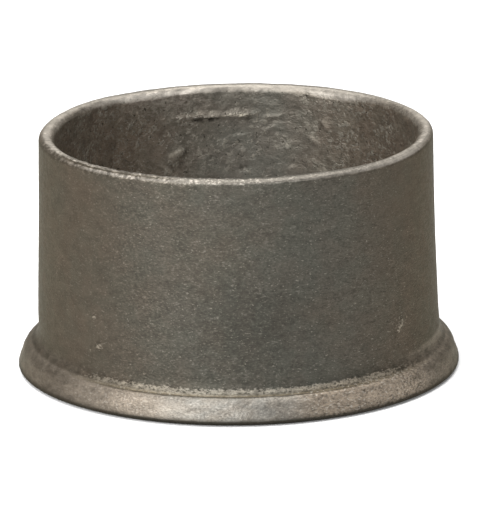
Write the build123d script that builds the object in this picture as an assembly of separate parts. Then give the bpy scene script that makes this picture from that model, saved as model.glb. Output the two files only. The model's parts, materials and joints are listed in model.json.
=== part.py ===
from build123d import *

import os

# A closet ferrule: a short open sleeve with a beaded foot, sand-cast in grey iron in one piece.
# Millimetres. The sleeve's axis is Z, and the origin is the centre of the seating face under the foot.

# Overall sizes
HEIGHT = 67.8
BORE_RADIUS = 50.8
FOOT_RADIUS = 62.0

# Barrel: the outside narrows from the foot to the rim, faster near the foot
BARREL_FOOT_RADIUS = 56.45
BARREL_MID_RADIUS = 55.35
BARREL_MID_HEIGHT = 44.0
BARREL_RIM_RADIUS = 55.0
BARREL_BLEND = 1000.0

# Foot: a flat seat, a short upright band at its widest, and a side that slopes in to the shoulder
SEAT_RADIUS = 60.3
BAND_LOW = 0.8
BAND_HIGH = 1.6
SHOULDER_RADIUS = 60.15
SHOULDER_HEIGHT = 6.9
FOOT_HEIGHT = 9.2

# Roundings, as the sand mould leaves them
RIM_INNER_ROUND = 2.0
RIM_OUTER_ROUND = 1.8
BORE_EDGE_ROUND = 1.5
SEAT_EDGE_ROUND = 1.0
BAND_LOW_ROUND = 0.8
BAND_HIGH_ROUND = 1.5
SHOULDER_ROUND = 5.0
ROOT_FILLET = 3.8


def wall_section():
    """The wall's cross-section on the +X side, in the XZ plane, as a face."""
    # each corner's radius from the axis, its height, and its rounding
    corners = [
        (BORE_RADIUS, HEIGHT, RIM_INNER_ROUND),
        (BORE_RADIUS, 0, BORE_EDGE_ROUND),
        (SEAT_RADIUS, 0, SEAT_EDGE_ROUND),
        (FOOT_RADIUS, BAND_LOW, BAND_LOW_ROUND),
        (FOOT_RADIUS, BAND_HIGH, BAND_HIGH_ROUND),
        (SHOULDER_RADIUS, SHOULDER_HEIGHT, SHOULDER_ROUND),
        (BARREL_FOOT_RADIUS, FOOT_HEIGHT, ROOT_FILLET),
        (BARREL_MID_RADIUS, BARREL_MID_HEIGHT, BARREL_BLEND),
        (BARREL_RIM_RADIUS, HEIGHT, RIM_OUTER_ROUND),
    ]
    points = [(radius, height) for radius, height, _ in corners]
    roundings = [rounding for _, _, rounding in corners]
    with BuildSketch(Plane.XZ) as section:
        with BuildLine():
            FilletPolyline(*points, radius=roundings, close=True)
        make_face()
    return section.sketch


def ferrule_casting():
    """The whole casting: the wall section turned once about the sleeve's axis."""
    casting = revolve(wall_section(), axis=Axis.Z)
    casting.label = "ferrule_casting"
    return casting


os.makedirs("parts", exist_ok=True)
export_step(ferrule_casting(), "parts/ferrule_casting.step")
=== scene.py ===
import json
import math

import bpy
import numpy as np
from mathutils import Matrix, Vector, noise


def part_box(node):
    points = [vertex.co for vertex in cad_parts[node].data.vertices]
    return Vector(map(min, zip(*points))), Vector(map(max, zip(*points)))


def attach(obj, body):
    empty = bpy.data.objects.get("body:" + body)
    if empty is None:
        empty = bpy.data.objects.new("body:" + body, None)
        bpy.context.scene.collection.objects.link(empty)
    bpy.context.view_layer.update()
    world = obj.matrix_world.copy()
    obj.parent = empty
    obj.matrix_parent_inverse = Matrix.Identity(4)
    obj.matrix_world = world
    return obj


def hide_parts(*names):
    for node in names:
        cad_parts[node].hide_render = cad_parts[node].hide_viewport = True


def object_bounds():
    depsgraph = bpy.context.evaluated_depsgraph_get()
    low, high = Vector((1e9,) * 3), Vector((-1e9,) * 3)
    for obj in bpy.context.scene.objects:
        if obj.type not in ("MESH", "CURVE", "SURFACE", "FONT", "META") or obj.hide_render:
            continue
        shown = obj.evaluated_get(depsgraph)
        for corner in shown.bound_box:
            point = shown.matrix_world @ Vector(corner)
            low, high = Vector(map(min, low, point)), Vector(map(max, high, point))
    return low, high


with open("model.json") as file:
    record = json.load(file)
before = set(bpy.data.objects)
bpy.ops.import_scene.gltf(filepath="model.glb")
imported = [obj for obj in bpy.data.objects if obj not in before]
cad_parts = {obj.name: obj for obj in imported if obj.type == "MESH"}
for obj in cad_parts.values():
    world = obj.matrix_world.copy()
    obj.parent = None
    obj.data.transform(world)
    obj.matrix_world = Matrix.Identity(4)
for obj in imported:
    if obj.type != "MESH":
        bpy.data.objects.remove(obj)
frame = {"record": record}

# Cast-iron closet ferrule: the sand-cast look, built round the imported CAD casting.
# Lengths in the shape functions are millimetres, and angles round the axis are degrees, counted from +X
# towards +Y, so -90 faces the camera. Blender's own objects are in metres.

CAD_LOW, CAD_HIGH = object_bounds()

MM = 0.001
CASTING = "ferrule_casting"
BORE = next(m for m in frame["record"]["mounts"] if m["name"] == "bore")

# Driving sizes, from the frame
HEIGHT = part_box(CASTING)[1].z / MM
FOOT_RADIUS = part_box(CASTING)[1].x / MM
BORE_RADIUS = BORE["dims"]["r_mm"]

# The wall's section, as the CAD has it: radius from the axis, height, rounding
SEAT_RADIUS = 60.3
SHOULDER = (60.15, 6.9)
ROOT = (56.45, 9.2)
BARREL_MID = (55.35, 44.0)
RIM_RADIUS = 55.0
SECTION = [
    (BORE_RADIUS, HEIGHT, 2.0),
    (BORE_RADIUS, 0.0, 1.5),
    (SEAT_RADIUS, 0.0, 1.0),
    (FOOT_RADIUS, 0.8, 0.8),
    (FOOT_RADIUS, 1.6, 1.5),
    (*SHOULDER, 5.0),
    (*ROOT, 3.8),
    (*BARREL_MID, 1000.0),
    (RIM_RADIUS, HEIGHT, 1.8),
]
COLUMNS = 544

# Points nearer the axis than this count as the bore's, and the others as the outside's
WALL_DIVIDE = BORE_RADIUS + 3.0

# Where the casting isn't true. RIM_TILT is half the rim's drop from +X to -X, the hump and the dip have an
# angle, a width and a size, and the last two shift the outside towards +X and -X
RIM_TILT = 0.32
RIM_HUMP = (141, 15, 0.38)
RIM_DIP = (-42, 17, -0.38)
ROOT_SHIFT = 0.23
BARREL_SHIFT = 0.08

# Heights
CREASE_HEIGHT = 7.85
CRUST_HEIGHT = 8.9
FOOT_TOP = 14
LAP_HEIGHT = 58.45
# the heights of the painted highlight on the lap's top: from, to and softness
LAP_TOP_HIGHLIGHT = (58.4, 59.4, 0.4)
CLUMP_HEIGHT = 59.4

# The radius of the groove in the lip
LIP_TRACK = 54.15

# Angles: the middles of the damaged lip, of the two stretches of rim worn and painted bright from edge to
# edge, of the crust and of the greyer skin, which is partly a painted reflection, the lap's left end, and the
# clump of iron near its right end
LIP_DAMAGE = -124
WHOLE_LIP_FRONT = -72
WHOLE_LIP_BACK = 92
CRUST_MIDDLE = -88
GREY_FRONT = -86
GREY_BACK = 86
LAP_LEFT_END = 112
CLUMP_ANGLE = 86

# Stretches of the rim, from, to and softness, as between() takes them
# the first stretch holds a painted highlight on the inner lip, and the back right a fainter one
BACK_LEFT_HIGHLIGHT = (101, 130, 6)
BACK_LEFT_REACH = (113, 129, 5)
BACK_RIGHT = (48, 64, 6)
FRONT_RIGHT = (-50, -20, 8)


# ---------------------------------------------------------------- small maths

def smooth(low, high, x):
    """0 below low, 1 above high, and an S-curve between them; low may be the larger."""
    t = np.clip((x - low) / (high - low), 0, 1)
    return t * t * (3 - 2 * t)


def between(low, high, soft, x):
    """1 from low to high, with soft ends."""
    return smooth(low - soft, low + soft, x) * smooth(high + soft, high - soft, x)


def peak(centre, width, x):
    """A bell, 1 at centre and down to about a third at that width from it."""
    return np.exp(-(((x - centre) / width) ** 2))


def angle_from(centre, angle):
    """The signed angle from centre, in degrees, from -180 to 180."""
    return (angle - centre + 180) % 360 - 180


def away(centre, angle):
    """How far the angle is from centre, in degrees, to either side."""
    return np.abs(angle_from(centre, angle))


# ---------------------------------------------------------------- the casting's section

def rounded_outline(corners, steps=14):
    """The closed outline of the section, its corners replaced by arcs, as an array of (radius, height)."""
    points = []
    for i, (radius, height, rounding) in enumerate(corners):
        here = np.array([radius, height])
        back = np.array(corners[i - 1][:2]) - here
        ahead = np.array(corners[(i + 1) % len(corners)][:2]) - here
        back, ahead = back / np.linalg.norm(back), ahead / np.linalg.norm(ahead)
        half = math.acos(np.clip(back @ ahead, -1, 1)) / 2
        middle = (back + ahead) / np.linalg.norm(back + ahead)
        centre = here + middle * rounding / math.sin(half)
        reach = rounding / math.tan(half)
        start, end = here + back * reach - centre, here + ahead * reach - centre
        turn = math.acos(np.clip(start @ end / rounding**2, -1, 1))
        for t in np.linspace(0, 1, steps):
            mixed = math.sin((1 - t) * turn) * start + math.sin(t * turn) * end
            points.append(centre + mixed / math.sin(turn))
    return np.array(points)


def row_gap(radius, height):
    """How far apart the mesh's rows are, finer where the casting has finer shapes."""
    if height > HEIGHT - 3.2:  # the rim
        return 0.34
    if height < 0.05:  # the seat
        return 1.6
    if radius < BORE_RADIUS + 0.3:  # the bore, finer where it has marks
        return 0.5 if height > 38 else 2.5
    if height < 12.5:  # the foot's side
        return 0.38
    return 0.9 if height < 28 else 1.6  # the barrel, finer where it has bumps


def section_rows(corners):
    """The rows of the mesh along the outline: radius, height, and the outward normal of each."""
    outline = rounded_outline(corners)
    closed = np.vstack([outline, outline[:1]])
    along = np.r_[0, np.cumsum(np.linalg.norm(np.diff(closed, axis=0), axis=1))]
    stops, reached = [], 0.0
    while reached < along[-1]:
        stops.append(reached)
        reached += row_gap(*(np.interp(reached, along, closed[:, k]) for k in (0, 1)))
    rows = np.stack([np.interp(stops, along, closed[:, k]) for k in (0, 1)], axis=1)
    tangent = np.roll(rows, -1, 0) - np.roll(rows, 1, 0)
    tangent /= np.linalg.norm(tangent, axis=1, keepdims=True)
    return rows, np.stack([tangent[:, 1], -tangent[:, 0]], axis=1)


class Surface:
    """Where each vertex of the mesh lies, as arrays of rows by columns.

    radius, height and angle are its place on the plain turned section. out is how far the wall there faces
    away from the axis, -1 in the bore and 1 on the outside. points start on the plain section too.
    """

    def __init__(self, rows, normals, angle, points):
        self.radius, self.height = (np.repeat(rows[:, k : k + 1], len(angle), axis=1) for k in (0, 1))
        self.out = np.repeat(normals[:, :1], len(angle), axis=1)
        self.angle = np.repeat(angle[None], len(rows), axis=0)
        self.cos, self.sin = np.cos(np.radians(self.angle)), np.sin(np.radians(self.angle))
        self.back = self.angle > 0
        self.outside = self.radius > WALL_DIVIDE
        self.inside = smooth(-0.2, -0.8, self.out) * (self.radius < WALL_DIVIDE)
        self.points = points


# ---------------------------------------------------------------- relief

def field(points, size, octaves, seed):
    """Fractal noise with features of that size, from about -1 to 1, at an array of points."""
    offset = Vector((seed * 17.3, seed * 5.9, seed * 11.1))
    flat = points.reshape(-1, 3) / size
    values = [noise.fractal(Vector(p) + offset, 1.0, 2.0, octaves) for p in flat]
    return np.array(values).reshape(points.shape[:2])


def streak(arc, height, length, width, tilt):
    """A long soft spot, 1 at its middle, from which arc and height are counted. tilt turns it, in degrees."""
    c, s = math.cos(math.radians(tilt)), math.sin(math.radians(tilt))
    along, across = arc * c + height * s, height * c - arc * s
    beyond = np.maximum(np.abs(along) - length / 2, 0)
    return np.exp(-((beyond / (width / 2)) ** 2) - (across / (width / 2)) ** 2)


# Marks on the bore wall: angle, height, length, width, tilt, and how far they stand out of the wall.
# The tilt is as seen from inside, facing the wall.
BORE_MARKS = [
    (109.6, 47.8, 3.2, 2.7, 28, 1.15),
    (107.2, 45.4, 1.0, 2.0, 0, -0.75),
    (114.4, 45.5, 0.9, 1.0, 0, 0.45),
    (112.1, 43.8, 2.8, 1.1, -55, 0.5),
    (100.5, 46.2, 2.6, 0.9, 9, 0.40),
    (87.5, 43.0, 0.2, 1.5, 0, -0.90),
    (97.2, 47.5, 0.2, 0.8, 0, 0.35),
    (89.0, 52.4, 2.6, 1.0, 4, 0.50),
    (78.9, 54.7, 3.0, 1.5, 18, 0.30),
    (77.5, 58.4, 3.4, 1.3, 6, 0.45),
    (76.5, 57.4, 2.8, 0.9, 6, -0.45),
    (72.9, 49.2, 1.2, 1.0, 0, 0.55),
    (71.6, 43.3, 1.6, 0.9, 30, 0.45),
    (64.0, 52.0, 2.6, 1.2, -40, 0.45),
    (60.0, 57.0, 2.2, 1.1, -55, 0.45),
    (120.5, 55.5, 1.6, 1.2, 0, -0.35),
    (91.8, 59.4, 0.7, 1.2, 0, 0.55),
    (89.2, 60.1, 0.6, 1.1, 30, 0.60),
    (87.0, 59.3, 0.8, 1.0, -20, 0.65),
    (88.4, 58.3, 0.4, 0.9, 0, 0.50),
]

# Marks on the outside of the barrel, with the tilt as seen from outside
BARREL_MARKS = [
    (-132.5, 17.4, 1.0, 1.7, 20, 0.85),
    (-135.8, 15.7, 0.6, 1.3, 0, 0.55),
    (-134.7, 25.3, 0.8, 1.3, 40, 0.60),
    (-37.0, 20.6, 1.6, 1.4, 60, 0.35),
    (-38.6, 18.8, 0.6, 1.2, 0, 0.28),
]


def marks_relief(marks, radius, facing, at):
    """The relief of a list of marks. facing is 1 on an outside wall and -1 on an inside one."""
    total = 0
    for mark_angle, mark_height, length, width, tilt, rise in marks:
        arc = facing * np.radians(angle_from(mark_angle, at.angle)) * radius
        total = total + rise * streak(arc, at.height - mark_height, length, width, tilt)
    return total


def along_lap(angle):
    """How far to the right of the lap's left end the angle is, in degrees."""
    return -angle_from(LAP_LEFT_END, angle)


def lap_strength(angle):
    """How strong the lap of iron is: about half on the left, and full from there to its right end."""
    along = along_lap(angle)
    return between(1, 28, 1.5, along) * (0.55 + 0.45 * smooth(7, 12, along))


def lap_pits(angle):
    """Where the lap of iron has pits under it."""
    along = along_lap(angle)
    return between(8.0, 16.5, 1.0, along) + 0.6 * between(23.5, 27.0, 0.8, along)


def lap_relief(at):
    """The ragged lap of iron across the far side of the bore: a sloping top, a sharp lower edge, and pits."""
    above = at.height - LAP_HEIGHT - 0.35 * field(at.points, 3.0, 3, 21)
    top = smooth(1.9, 0.3, above) * smooth(-0.30, 0.10, above)
    top = top * (0.85 + 0.38 * field(at.points, 2.6, 3, 22))
    under = peak(-0.75, 0.5, above) * np.maximum(0.3 + 1.4 * field(at.points, 1.9, 2, 23), 0)
    clump = 1 + 0.7 * peak(0, 3.0, angle_from(CLUMP_ANGLE, at.angle))
    return lap_strength(at.angle) * 1.25 * clump * top - 1.3 * lap_pits(at.angle) * under


def bore_relief(at):
    """The uneven core-sand surface of the bore, with its lap and its marks."""
    core = 0.23 * field(at.points, 13.0, 2, 3) + 0.22 * field(at.points, 4.8, 2, 4)
    core = core - 0.13 * np.abs(field(at.points, 3.4, 1, 5)) + 0.13 * field(at.points, 2.0, 1, 6)
    wall = smooth(-0.3, -0.9, at.out) * (at.radius < WALL_DIVIDE)
    return wall * (core + lap_relief(at) + marks_relief(BORE_MARKS, BORE_RADIUS, -1, at))


def barrel_relief(at):
    """The small bumps on the outside of the barrel."""
    wall = smooth(0.6, 0.95, at.out) * smooth(FOOT_TOP - 3, FOOT_TOP, at.height)
    return wall * marks_relief(BARREL_MARKS, ROOT[0], 1, at)


def rim_relief(at):
    """The uneven lip: a thin groove in its top and dents, both deepest at the damaged front left."""
    on_rim = smooth(HEIGHT - 2.6, HEIGHT - 0.8, at.height)
    damage = between(-28, 30, 14, angle_from(LIP_DAMAGE, at.angle))
    track = LIP_TRACK + 0.2 * field(at.points, 9.0, 2, 31)
    groove = peak(track, 0.33, at.radius) * (0.05 + 0.12 * damage)
    ragged = damage * 0.22 * field(at.points, 1.9, 2, 34)
    dents = 0.05 * field(at.points, 2.4, 3, 32) + 0.05 * field(at.points, 11.0, 2, 33)
    return on_rim * (dents + ragged - groove)


def foot_front(angle):
    """How strong the foot's front is: 1 in front, falling to 0 at its sides, more slowly on the right. It
    weights the crust's relief, and the wear with its painted highlight on the face.
    """
    return smooth(-149, -123, angle) * smooth(-12, -60, angle)


def foot_relief(at):
    """The crust of sand-marked iron on the foot's ledge, and the crease under it, both strongest in front."""
    front = 0.12 + 0.88 * foot_front(at.angle)
    ledge = peak(CRUST_HEIGHT, 0.75, at.height - 0.35 * field(at.points, 4.0, 2, 41))
    lumps = 0.42 - 0.22 * smooth(-84, -60, at.angle)
    crust = ledge * (0.12 + lumps * field(at.points, 1.9, 2, 42))
    crease = peak(CREASE_HEIGHT, 0.24, at.height)
    dents = 0.10 * field(at.points, 3.4, 3, 44) + 0.05 * field(at.points, 1.3, 2, 45)
    side = between(1.2, 6.6, 0.8, at.height) * dents
    return at.outside * (at.height < FOOT_TOP) * (front * (crust - 0.42 * crease) + side)


def lean(at):
    """How far the casting's outside stands off true: its root is shifted to +X, and its barrel to -X."""
    return at.cos * (ROOT_SHIFT * peak(11, 4.0, at.height) - BARREL_SHIFT * smooth(16, 30, at.height))


def casting_relief(at):
    """How far each point of the mesh stands out of the plain turned section."""
    off_seat = smooth(0.0, 1.2, at.height)
    skin = 0.07 * field(at.points, 24.0, 2, 1) + 0.04 * field(at.points, 2.2, 3, 2)
    walls = skin + bore_relief(at) + barrel_relief(at) + foot_relief(at) + np.maximum(at.out, 0) * lean(at)
    return off_seat * walls + rim_relief(at)


def rim_lift(at):
    """How far the rim is from level: highest on +X, as high as the CAD, with a hump and a dip elsewhere."""
    lift = RIM_TILT * (at.cos - 1)
    for centre, width, size in (RIM_HUMP, RIM_DIP):
        lift = lift + size * peak(0, width, angle_from(centre, at.angle))
    return lift * smooth(HEIGHT - 14, HEIGHT - 2, at.height)


# ---------------------------------------------------------------- wear, with painted light and shade

def lip_wear_and_highlight(at, whole):
    """Which part of the rounded lip is worn and painted bright as if lit, by the way it faces: all of it, one
    line, or two lines.
    """
    all_round = smooth(1.02, 0.84, at.out)
    share = 0.42 + 0.28 * smooth(-0.1, 0.4, at.sin)
    share = share - 0.28 * (between(20, 46, 6, at.angle) + between(136, 160, 6, at.angle))
    share = share - 0.17 * between(-176, -144, 8, at.angle)
    line_at = 0.2 * smooth(-0.2, 0.4, at.cos) - 0.1
    one_line = share * all_round + (1 - share) * peak(line_at, 0.45, at.out)
    outer = (0.45 + 0.5 * smooth(-146, -134, at.angle)) * between(0.60, 0.95, 0.10, at.out)
    two_lines = 0.8 * between(-0.7, 0.34, 0.12, at.out) + outer
    lip = one_line + (all_round - one_line) * whole
    lip = lip + (two_lines - lip) * between(-26, 14, 8, angle_from(LIP_DAMAGE, at.angle))
    return lip * (1 - between(*FRONT_RIGHT, at.angle) * smooth(0.0, -0.4, at.out))


def rim_zones(at):
    """The rim: where it is worn and painted bright as if lit, where it is ragged, where its inner lip has a
    painted highlight, and how much brighter its painted highlight is at the sides and back. calm has fainter
    grain.
    """
    whole = smooth(58, 40, away(WHOLE_LIP_FRONT, at.angle)) + smooth(60, 40, away(WHOLE_LIP_BACK, at.angle))
    reach = 0.4 * between(*BACK_LEFT_REACH, at.angle) + 0.8 * between(*BACK_RIGHT, at.angle)
    worn_and_lit = smooth(HEIGHT - 2.8, HEIGHT - 0.8, at.height + reach * at.inside) * lip_wear_and_highlight(at, whole)
    # a faint painted highlight on the bore wall just under the rim at the back, with the rim's wear
    below = 0.25 * at.inside * whole * smooth(HEIGHT - 11, HEIGHT - 3, at.height) * at.back
    # painted highlight on the inner lip at the back
    inner_lip_highlight = 0.8 * smooth(-0.62, -0.98, at.out) * between(*BACK_LEFT_HIGHLIGHT, at.angle)
    inner_lip_highlight = inner_lip_highlight + 0.30 * smooth(-0.78, -1.0, at.out) * between(*BACK_RIGHT, at.angle)
    # side: how much brighter the rim's painted highlight is, strongest at the sides and the back
    side = np.abs(at.cos) ** 3 + 0.30 * np.maximum(at.sin, 0)
    return {
        "rim": np.maximum(worn_and_lit, below),
        "inner_lip_highlight": inner_lip_highlight,
        "side": side + (1 - side) * inner_lip_highlight,
        "ragged": smooth(60, 30, away(LIP_DAMAGE + 2, at.angle)),
        "calm": np.maximum(calm_barrel(at), 0.8 * worn_and_lit * at.back),
    }


def calm_barrel(at):
    """Where the barrel's grain is fainter: at its left side, and near the rim at its right side. Its stronger
    grain and specks elsewhere stand partly for painted glints.
    """
    left = between(-40, 22, 10, angle_from(-150, at.angle))
    right = 0.8 * between(-44, 20, 10, at.angle) * smooth(38, 54, at.height)
    return np.maximum(left, right) * at.outside


def foot_zones(at):
    """The foot: its face, worn and with a painted highlight strongest in front, a painted sheen on the ledge
    at the sides, the crease's painted shade, and the grit right of the front.
    """
    front = foot_front(at.angle)
    right = smooth(-80, -20, at.angle) * smooth(200, 140, at.angle)
    # the face: worn, with a painted highlight that is strongest in front
    face = between(1.6, CREASE_HEIGHT + 0.3, 0.3, at.height) * (0.46 + 0.46 * front)
    # the ledge: a painted sheen at the sides
    ledge = (0.30 + 0.22 * right) * between(8.0, 10.6 + 1.2 * right, 1.0, at.height) * (1 - front)
    return {
        "foot": (face + ledge) * at.outside,
        # crease: painted shade in the crease under the crust
        "crease": peak(CREASE_HEIGHT, 0.25, at.height) * at.outside * front,
        "grit": between(-74, -34, 7, at.angle) * smooth(9.6, 8.2, at.height) * at.outside,
    }


def crust_and_highlight_zone(at):
    """Pale rough iron: the crust on the foot's ledge and a speckle round the barrel's right-hand bumps, with
    painted highlights on the lap's top in the bore, its clump and the barrel's bumps.
    """
    ledge = peak(CRUST_HEIGHT - 0.25, 0.75, at.height) * smooth(56, 40, away(CRUST_MIDDLE, at.angle))
    lap = 0.85 * lap_strength(at.angle) * between(*LAP_TOP_HIGHLIGHT, at.height)
    clump = 0.75 * peak(0, 3.5, angle_from(CLUMP_ANGLE + 3, at.angle)) * peak(CLUMP_HEIGHT, 1.2, at.height)
    bumps = np.clip(1.6 * marks_relief(BARREL_MARKS, ROOT[0], 1, at), 0, 0.8)
    speckle = 0.36 * peak(0, 4.5, angle_from(-37, at.angle)) * peak(20, 3.5, at.height)
    return at.inside * (lap + clump) + at.outside * (ledge + bumps + speckle)


def shade_and_pit_zone(at):
    """Painted shade: the foot's side next to the floor, and under the lap, darkest in its pits."""
    pits = lap_pits(at.angle) * between(57.0, 58.1, 0.3, at.height)
    pits = pits * smooth(-0.10, 0.08, field(at.points, 1.3, 2, 24))
    return smooth(3.2, 0.5, at.height) * at.outside + at.inside * pits


def wear_zones(at):
    """What the material needs to know of each vertex, from 0 to 1: how worn it is, where painted highlights
    and shade go, and where it lies.
    """
    grey_front = smooth(55, 15, away(GREY_FRONT, at.angle)) * at.outside
    grey_back = smooth(46, 2, away(GREY_BACK, at.angle)) * (1 - at.outside)
    zones = {
        **rim_zones(at),
        **foot_zones(at),
        "crust": crust_and_highlight_zone(at),
        # under: painted shade under the foot and under the lap
        "under": shade_and_pit_zone(at),
        "bore": at.inside * smooth(HEIGHT - 0.8, HEIGHT - 2.2, at.height),
        # darker in the middle of the barrel's front
        "front_darkening": peak(0, 17, angle_from(GREY_FRONT, at.angle)) * peak(27, 13, at.height) * at.outside,
        # grey: greyer skin in front and at the back of the bore, partly a painted reflection
        "grey": grey_front + grey_back,
    }
    return {name: zone.ravel() for name, zone in zones.items()}


# ---------------------------------------------------------------- the mesh

def grid_mesh(name, points, zones):
    """A closed mesh from one ring of points per row, in millimetres, with the zones as vertex attributes."""
    count, columns = points.shape[:2]
    index = np.arange(count * columns).reshape(count, columns)
    ahead, up = np.roll(index, -1, 1), np.roll(index, -1, 0)
    faces = np.stack([index, ahead, np.roll(up, -1, 1), up], axis=-1).reshape(-1, 4)
    mesh = bpy.data.meshes.new(name)
    mesh.from_pydata((points.reshape(-1, 3) * MM).tolist(), [], faces.tolist())
    mesh.shade_smooth()
    for zone, values in zones.items():
        attribute = mesh.attributes.new(zone, "FLOAT", "POINT")
        attribute.data.foreach_set("value", values.astype(np.float32))
    piece = bpy.data.objects.new(name, mesh)
    bpy.context.scene.collection.objects.link(piece)
    return piece


def iron_ferrule():
    """The whole casting with its relief, as one closed mesh inside the CAD casting's box."""
    rows, normals = section_rows(SECTION)
    angle = np.linspace(-180, 180, COLUMNS, endpoint=False)
    c, s = np.cos(np.radians(angle)), np.sin(np.radians(angle))

    def ring(radial, axial):
        return np.stack([radial * c, radial * s, axial * np.ones(COLUMNS)], axis=-1)

    at = Surface(rows, normals, angle, ring(rows[:, :1], rows[:, 1:]))
    outward = ring(normals[:, :1], normals[:, 1:])
    points = at.points + outward * casting_relief(at)[..., None]
    points[..., 2] += rim_lift(at)
    at.points = np.clip(points, [-FOOT_RADIUS, -FOOT_RADIUS, 0], [FOOT_RADIUS, FOOT_RADIUS, HEIGHT])
    return grid_mesh("iron_ferrule", at.points, wear_zones(at))


# ---------------------------------------------------------------- materials

class Nodes:
    """Short names for building a material's node tree."""

    def __init__(self, name):
        self.material = bpy.data.materials.new(name)
        self.material.use_nodes = True
        self.tree = self.material.node_tree
        self.tree.nodes.clear()

    def add(self, kind, inputs=(), **settings):
        node = self.tree.nodes.new(kind)
        for key, value in settings.items():
            setattr(node, key, value)
        for socket, value in dict(inputs).items():
            self.put(node.inputs[socket], value)
        return node

    def put(self, socket, value):
        if isinstance(value, bpy.types.NodeSocket):
            self.tree.links.new(value, socket)
        else:
            socket.default_value = value

    def noise(self, where, size_mm, detail=2.0, rough=0.5):
        """Noise with features of that size, about 0 to 1."""
        sockets = {"Vector": where, "Scale": 1 / (size_mm * MM), "Detail": detail, "Roughness": rough}
        return self.add("ShaderNodeTexNoise", sockets).outputs["Fac"]

    def stretch(self, where, across, up):
        """Positions that make a noise's features longer across and up by those factors."""
        factors = (1 / across, 1 / across, 1 / up)
        return self.add("ShaderNodeVectorMath", {0: where, 1: factors}, operation="MULTIPLY").outputs[0]

    def math(self, operation, a, b=0.0):
        return self.add("ShaderNodeMath", {0: a, 1: b}, operation=operation).outputs[0]

    def ramp(self, value, low, high, out_low=0.0, out_high=1.0):
        """value from low to high becomes out_low to out_high, smoothly, and stays there beyond."""
        sockets = {"Value": value, "From Min": low, "From Max": high, "To Min": out_low, "To Max": out_high}
        return self.add("ShaderNodeMapRange", sockets, interpolation_type="SMOOTHSTEP").outputs["Result"]

    def mix(self, share, a, b, blend="MIX"):
        node = self.add("ShaderNodeMix", data_type="RGBA", blend_type=blend)
        self.put(node.inputs["Factor"], share)
        self.put(node.inputs[6], a)
        self.put(node.inputs[7], b)
        return node.outputs[2]

    def zone(self, name):
        """A vertex attribute of the mesh."""
        return self.add("ShaderNodeAttribute", attribute_name=name).outputs["Fac"]

    def times(self, first, *others):
        for other in others:
            first = self.math("MULTIPLY", first, other)
        return first

    def plus(self, first, *others):
        for other in others:
            first = self.math("ADD", first, other)
        return first

    def minus(self, a, b):
        return self.math("SUBTRACT", a, b)

    def fade(self, share, start, end):
        """start where share is 0, and end where it is 1."""
        return self.ramp(share, 0, 1, start, end)

    def scaled(self, colour, factor):
        """A colour times a number."""
        grey = self.add("ShaderNodeCombineColor", {0: factor, 1: factor, 2: factor}).outputs[0]
        return self.mix(1.0, colour, grey, "MULTIPLY")


SKIN_BROWN = (0.0813, 0.0655, 0.0489, 1)
SKIN_OLIVE = (0.0774, 0.0647, 0.0490, 1)
SKIN_GREY = (0.0741, 0.0702, 0.0585, 1)
BORE_BROWN = (0.164, 0.134, 0.104, 1)
BORE_GREY = (0.143, 0.135, 0.116, 1)
WORN_IRON = (0.239, 0.227, 0.202, 1)
WORN_WARM = (0.240, 0.202, 0.161, 1)
# the crust's colour, also used for the painted highlights on the lap and the bumps
CRUST_AND_HIGHLIGHT_WARM = (0.255, 0.230, 0.180, 1)
WORN_SANDY = (0.308, 0.254, 0.197, 1)
# The rim's colours: its wear with a painted highlight, brighter at the sides, up to a painted gleam on the
# inner lip
RIM_LIGHT = (0.165, 0.150, 0.128, 1)
RIM_BRIGHT = (0.54, 0.49, 0.425, 1)
RIM_GLEAM = (0.92, 0.85, 0.76, 1)
TINT_ROSE = (1.02, 0.995, 0.985, 1)
TINT_GREEN = (0.985, 1.005, 1.0, 1)
# painted shade in the foot's crease
CREASE_OLIVE = (0.14, 0.115, 0.075, 1)
# the dark of the pits, and of the painted shade under the foot and the lap
PIT_AND_SHADE_DARK = (0.018, 0.015, 0.011, 1)
# painted glints on the worn foot
PAINTED_GLINT = (0.58, 0.54, 0.48, 1)
# pale specks, most of them painted glints
SPECK_AND_GLINT_LIGHT = (0.26, 0.24, 0.20, 1)
SPECULAR_TINT = (0.44, 0.44, 0.37, 1)
PAPER_DARK = (0.94, 0.94, 0.94, 1)
PAPER_LIGHT = (0.97, 0.97, 0.97, 1)
WHITE = (1, 1, 1, 1)

BUMP_DEPTH = 0.17 * MM


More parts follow.
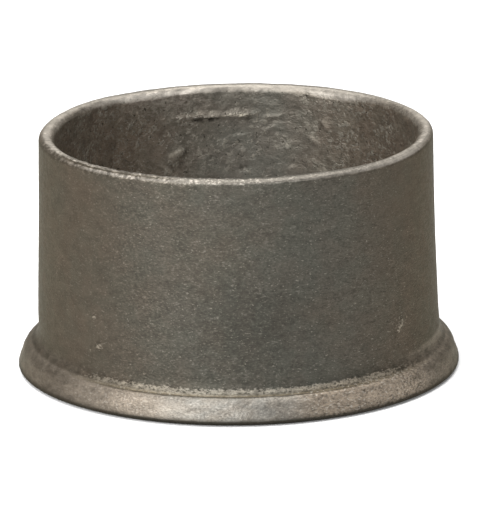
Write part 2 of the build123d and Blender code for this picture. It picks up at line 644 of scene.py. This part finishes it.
class CastIron(Nodes):
    """Sand-cast grey iron: dark grainy skin, pits and bright specks, worn metal on the rim and foot, and
    painted highlights, glints and shade.
    """

    def __init__(self):
        super().__init__("sand_cast_iron")
        self.where = self.add("ShaderNodeTexCoord").outputs["Object"]
        self.laid = self.stretch(self.where, 1.35, 0.72)
        self.sand = self.noise(self.laid, 0.60, 2, 0.6)
        self.grain = self.noise(self.laid, 1.25, 4, 0.65)
        self.coarse = self.noise(self.laid, 3.2, 4, 0.6)
        self.spatter, self.dust = self.fine_mix(0.9, 1.1), self.fine_mix(1.5, 0.5)
        # rim and foot hold wear with painted highlights; crust holds the crust and the painted highlights on
        # the lap and bumps
        self.rim, self.ragged, self.foot = map(self.zone, ("rim", "ragged", "foot"))
        self.grit, self.crust, self.bore, self.grey = map(self.zone, ("grit", "crust", "bore", "grey"))
        self.strength = self.fade(self.zone("calm"), 1.0, 0.45)
        self.foot_wear_and_sheen_share = self.foot_wear_and_sheen()
        self.wear_and_highlight = self.wear_and_highlight_share()
        self.clusters = self.times(self.ramp(self.noise(self.where, 6.5, 2), 0.40, 0.60, 0.2, 1.0), self.bore)
        self.crumbs = self.times(self.ramp(self.noise(self.where, 1.4, 2, 0.6), 0.54, 0.63), self.clusters)
        self.flecks = self.bore_flecks()
        pit_share = self.fade(self.bore, 0.25, 0.8)
        self.pits = self.times(self.ramp(self.noise(self.where, 1.1, 2), 0.34, 0.26), pit_share)
        self.finish()

    def fine_mix(self, sand, grain):
        """Fine noise about zero, from that much of the two finest grains."""
        return self.minus(self.plus(self.times(self.sand, sand), self.times(self.grain, grain)), 1.0)

    def foot_wear_and_sheen(self):
        """How much of the foot's skin gives way to wear and to its painted highlight and sheen, with ragged
        edges and a gritty patch.
        """
        edge = self.minus(self.plus(self.times(self.coarse, 0.7), self.times(self.grain, 0.8)), 0.75)
        edge = self.times(edge, self.ramp(self.foot, 0.35, 0.85, 0.2, 0.45))
        gritty = self.times(self.dust, 1.1, self.grit)
        return self.ramp(self.plus(self.foot, edge, gritty), 0.05, 0.95)

    def wear_and_highlight_share(self):
        """How much of the skin gives way to worn iron and painted highlights, over the whole casting."""
        tattered = self.times(self.spatter, self.fade(self.ragged, 0.35, 1.1))
        rim = self.ramp(self.plus(self.rim, tattered), 0.05, 0.95)
        crust = self.ramp(self.plus(self.crust, self.times(self.dust, 1.6)), 0.38, 1.0, 0.0, 0.82)
        return self.math("MAXIMUM", self.math("MAXIMUM", rim, self.foot_wear_and_sheen_share), crust)

    def bore_flecks(self):
        """Thin bent pale lines, here and there in the bore."""
        bends = self.math("ABSOLUTE", self.minus(self.noise(self.where, 2.4, 1), 0.5))
        here = self.ramp(self.noise(self.where, 3.6, 1), 0.52, 0.66)
        return self.times(self.ramp(bends, 0.035, 0.0), here, self.bore)

    def skin_colour(self):
        """The unworn skin: brown to olive, greyer in front and at the back of the bore, partly as a painted
        reflection, faintly tinted, and darker in the middle of the barrel's front.
        """
        patches = self.noise(self.where, 22, 1)
        greyness = self.times(self.grey, self.ramp(patches, 0.3, 0.6, 0.7, 1.0))
        outside = self.mix(self.ramp(patches, 0.35, 0.65), SKIN_BROWN, SKIN_OLIVE)
        outside = self.mix(greyness, outside, SKIN_GREY)
        skin = self.mix(self.bore, outside, self.mix(greyness, BORE_BROWN, BORE_GREY))
        tint = self.mix(self.ramp(self.noise(self.where, 7, 2), 0.38, 0.62), TINT_ROSE, TINT_GREEN)
        skin = self.mix(1.0, skin, tint, "MULTIPLY")
        # darker in the middle of the barrel's front
        return self.scaled(skin, self.fade(self.zone("front_darkening"), 1.0, 0.80))

    def worn_and_highlight_colour(self):
        """Worn iron: streaky grey to warm on the foot, yellower on the crust and the painted highlights in the
        bore and on the bumps, and brighter on the rim, where painted highlights and glints go too.
        """
        cool = self.times(self.ramp(self.coarse, 0.35, 0.65, 0.6, 1.0), self.math("POWER", self.grey, 5.0))
        worn_and_lit = self.mix(self.grit, self.mix(cool, WORN_WARM, WORN_IRON), WORN_SANDY)
        streaks = self.noise(self.stretch(self.where, 3.0, 0.8), 3.0, 3, 0.6)
        worn_and_lit = self.scaled(worn_and_lit, self.ramp(streaks, 0.32, 0.68, 0.84, 1.14))
        worn_and_lit = self.mix(self.times(self.crust, 0.6), worn_and_lit, CRUST_AND_HIGHLIGHT_WARM)
        # the rim, worn and with a painted highlight that is brighter at the sides
        worn_and_lit = self.mix(self.rim, worn_and_lit, self.mix(self.zone("side"), RIM_LIGHT, RIM_BRIGHT))
        # the inner lip's painted highlight
        worn_and_lit = self.mix(self.times(self.zone("inner_lip_highlight"), 0.8), worn_and_lit, RIM_GLEAM)
        # painted glints on the ragged lip
        painted_glints = self.times(self.ramp(self.spatter, 0.02, 0.22), self.rim, self.ragged, 0.5)
        return self.mix(painted_glints, worn_and_lit, RIM_BRIGHT)

    def grain_shade(self):
        """How much lighter or darker the grain makes each spot, about 1."""
        less = self.fade(self.wear_and_highlight, 1.0, 0.6)
        fine = self.ramp(self.sand, 0.25, 0.75, -0.198, 0.225)
        medium = self.times(self.ramp(self.grain, 0.28, 0.72, -0.17, 0.17), less)
        broad = self.times(self.ramp(self.coarse, 0.28, 0.72, -0.12, 0.12), less)
        small = self.times(self.plus(fine, medium), self.minus(self.strength, self.times(self.bore, 0.35)))
        return self.plus(small, broad, 1.0)

    def with_specks(self, colour):
        """Adds pale specks: painted glints everywhere, thicker on the worn foot, and pale specks in clusters
        in the bore.
        """
        # painted glints everywhere, fainter where the grain is calm
        glint_specks = self.ramp(self.noise(self.laid, 0.55, 1), 0.66, 0.76)
        colour = self.mix(self.times(glint_specks, self.strength, 0.55), colour, SPECK_AND_GLINT_LIGHT)
        # painted glints on the worn foot
        foot_glints = self.times(self.ramp(self.noise(self.laid, 0.62, 1), 0.56, 0.70), self.foot_wear_and_sheen_share, self.foot)
        colour = self.mix(self.times(foot_glints, self.fade(self.grit, 0.26, 0.55)), colour, PAINTED_GLINT)
        sparks = self.times(self.ramp(self.noise(self.laid, 0.85, 1), 0.57, 0.68), self.clusters)
        colour = self.mix(self.times(sparks, self.fade(self.grey, 0.95, 0.25)), colour, SPECK_AND_GLINT_LIGHT)
        colour = self.mix(self.times(self.crumbs, 0.7), colour, SPECK_AND_GLINT_LIGHT)
        return self.mix(self.times(self.flecks, 0.45), colour, SPECK_AND_GLINT_LIGHT)

    def with_darks(self, colour):
        """Adds the pits, and the painted shade on the underside and under the lap."""
        colour = self.mix(self.pits, colour, PIT_AND_SHADE_DARK)
        return self.mix(self.times(self.zone("under"), 0.9), colour, PIT_AND_SHADE_DARK)

    def fine_relief(self):
        """The height of what is too fine for the mesh, in BUMP_DEPTH units: grain, pits, crumbs and flecks."""
        fine = self.plus(self.times(self.grain, self.fade(self.wear_and_highlight, 0.9, 0.5)), self.times(self.sand, 0.85))
        fine = self.times(fine, self.fade(self.bore, 1.0, 0.6))
        deep = self.times(self.fade(self.bore, 0.7, 2.2), self.fade(self.wear_and_highlight, 1.0, 0.5))
        height = self.times(self.plus(fine, self.times(self.coarse, deep)), self.strength)
        height = self.minus(height, self.times(self.pits, 0.5))
        return self.plus(height, self.times(self.crumbs, 0.6), self.times(self.flecks, 0.4))

    def finish(self):
        """Joins everything in one shader."""
        colour = self.mix(self.wear_and_highlight, self.skin_colour(), self.worn_and_highlight_colour())
        # painted shade in the foot's crease
        colour = self.mix(self.times(self.zone("crease"), 0.9), colour, CREASE_OLIVE)
        colour = self.with_darks(self.with_specks(self.scaled(colour, self.grain_shade())))
        rough = self.minus(self.ramp(self.grain, 0.3, 0.7, 0.46, 0.62), self.times(self.wear_and_highlight, 0.08))
        relief = {"Height": self.fine_relief(), "Strength": 1.0, "Distance": BUMP_DEPTH}
        shader = self.add("ShaderNodeBsdfPrincipled", {
            "Base Color": colour,
            "Roughness": rough,
            "Metallic": 0.75,
            "Normal": self.add("ShaderNodeBump", relief).outputs[0],
            "Specular Tint": SPECULAR_TINT,
        })
        self.add("ShaderNodeOutputMaterial", {"Surface": shader.outputs[0]})


def floor_material():
    """Plain white paper with the faintest mottle, and a little light of its own so that it stays white."""
    n = Nodes("white_paper")
    where = n.add("ShaderNodeTexCoord").outputs["Object"]
    shader = n.add("ShaderNodeBsdfPrincipled", {
        "Base Color": n.mix(n.noise(where, 40, 2), PAPER_DARK, PAPER_LIGHT),
        "Roughness": 0.9,
        "Specular IOR Level": 0.1,
        "Emission Color": WHITE,
        "Emission Strength": 0.12,
    })
    n.add("ShaderNodeOutputMaterial", {"Surface": shader.outputs[0]})
    return n.material


# ---------------------------------------------------------------- stage, lights, camera

def floor(side=6.0):
    """A plain pale floor under the foot."""
    mesh = bpy.data.meshes.new("floor")
    h = side / 2
    mesh.from_pydata([(-h, -h, 0), (h, -h, 0), (h, h, 0), (-h, h, 0)], [], [(0, 1, 2, 3)])
    piece = bpy.data.objects.new("floor", mesh)
    piece.location.z = CAD_LOW.z
    mesh.materials.append(floor_material())
    bpy.context.scene.collection.objects.link(piece)


def softbox(name, azimuth, elevation, distance, size, power):
    """A square area light aimed at the casting. Azimuth 0 is the camera's side, and plus is to the right."""
    lamp = bpy.data.lights.new(name, "AREA")
    lamp.shape, lamp.size, lamp.energy = "SQUARE", size, power
    piece = bpy.data.objects.new(name, lamp)
    a, e = math.radians(azimuth), math.radians(elevation)
    away_from_casting = Vector((math.sin(a) * math.cos(e), -math.cos(a) * math.cos(e), math.sin(e)))
    piece.location = (CAD_LOW + CAD_HIGH) / 2 + away_from_casting * distance
    piece.rotation_euler = away_from_casting.to_track_quat("Z", "Y").to_euler()
    bpy.context.scene.collection.objects.link(piece)


def studio():
    """Soft studio light: a white surround, a big key from the front left, and an overhead box."""
    world = bpy.data.worlds.new("studio")
    world.use_nodes = True
    background = world.node_tree.nodes["Background"]
    background.inputs["Color"].default_value = WHITE
    background.inputs["Strength"].default_value = 0.36
    bpy.context.scene.world = world
    softbox("key", azimuth=-34, elevation=30, distance=1.5, size=1.2, power=22)
    softbox("overhead", azimuth=180, elevation=84, distance=1.5, size=1.5, power=29)
    bpy.context.scene.view_settings.view_transform = "Standard"


def camera():
    """A long lens looking slightly down, with the casting turned a little anticlockwise in the picture."""
    distance, elevation, roll = 1.6, math.radians(15.844), math.radians(-0.722)
    aim = Vector((0.00068, 0, 0.02911))
    data = bpy.data.cameras.new("camera")
    data.lens, data.sensor_width = 391.9, 36.0
    data.clip_start, data.clip_end = 0.01, 20
    piece = bpy.data.objects.new("camera", data)
    back = Vector((0, -math.cos(elevation), math.sin(elevation)))
    turn = back.to_track_quat("Z", "Y").to_matrix() @ Matrix.Rotation(roll, 3, "Z")
    piece.matrix_world = Matrix.Translation(aim + back * distance) @ turn.to_4x4()
    bpy.context.scene.collection.objects.link(piece)
    bpy.context.scene.camera = piece


ferrule = iron_ferrule()
ferrule.data.materials.append(CastIron().material)
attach(ferrule, "root")
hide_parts(CASTING)

floor()
studio()
camera()
